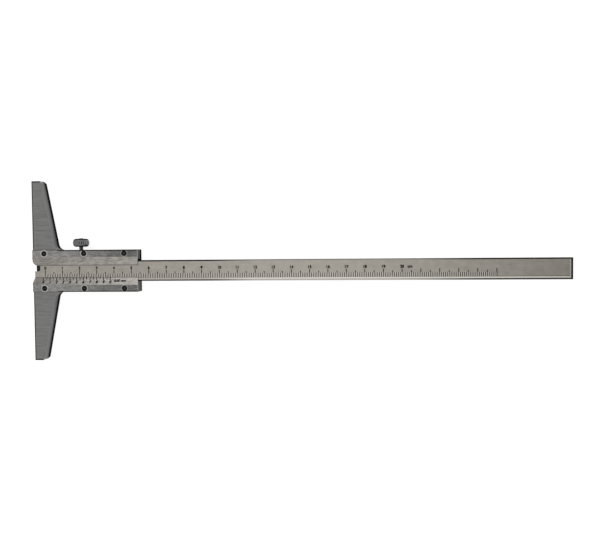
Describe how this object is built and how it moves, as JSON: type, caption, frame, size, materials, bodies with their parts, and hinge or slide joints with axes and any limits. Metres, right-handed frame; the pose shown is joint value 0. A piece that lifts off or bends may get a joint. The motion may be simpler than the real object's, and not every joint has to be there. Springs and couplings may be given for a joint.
{
  "type": "depth gauge",
  "caption": "Vernier depth gauge: tapered bridge base, engraved sliding beam with stepped tip, bevelled cover and vernier plates, knurled lock screw.",
  "frame": {"origin": "on the plane of the measuring face, at the middle of the base's length and on its back", "axes": "+X along the beam, away from the measuring face; +Y towards the lock screw; +Z out of the graduated front, the back lying on z = 0"},
  "size_m": [0.2966, 0.1014, 0.009],
  "materials": {
    "base_steel": "ground and brushed across the base",
    "plate_steel": "satin chrome",
    "beam_steel": "satin chrome",
    "screw_black": "blackened",
    "spring_bronze": "rolled strip",
    "knob_chrome": "bright chrome",
    "mark_black": "black enamel filling"
  },
  "bodies": {
    "base": {"base_frame": "base_steel", "cover_plate": "plate_steel", "vernier_plate": "plate_steel", "cover_screw_1": "screw_black", "cover_screw_2": "screw_black", "cover_screw_3": "screw_black", "vernier_screw_1": "screw_black", "vernier_screw_2": "screw_black", "vernier_screw_3": "screw_black", "leaf_spring": "spring_bronze"},
    "beam": {"beam": "beam_steel"},
    "stud": {"lock_stud": "knob_chrome"},
    "knob": {"lock_knob": "knob_chrome"}
  },
  "joints": [
    {"name": "beam_slide", "type": "slide", "parent": "base", "child": "beam", "axis": [-1, 0, 0], "range_m": [0, 0.20105]},
    {"name": "stud_advance", "type": "slide", "parent": "base", "child": "stud", "axis": [0, 1, 0], "range_m": [0, 0.0009]},
    {"name": "knob_turn", "type": "hinge", "parent": "stud", "child": "knob", "pos_m": [0.0276, 0.0155, 0.00465], "axis": [0, 1, 0], "range_deg": [0, 720]}
  ],
  "couplings": [
    {"joint": "knob_turn", "follows": "stud_advance", "rad_per_m": 13963}
  ]
}
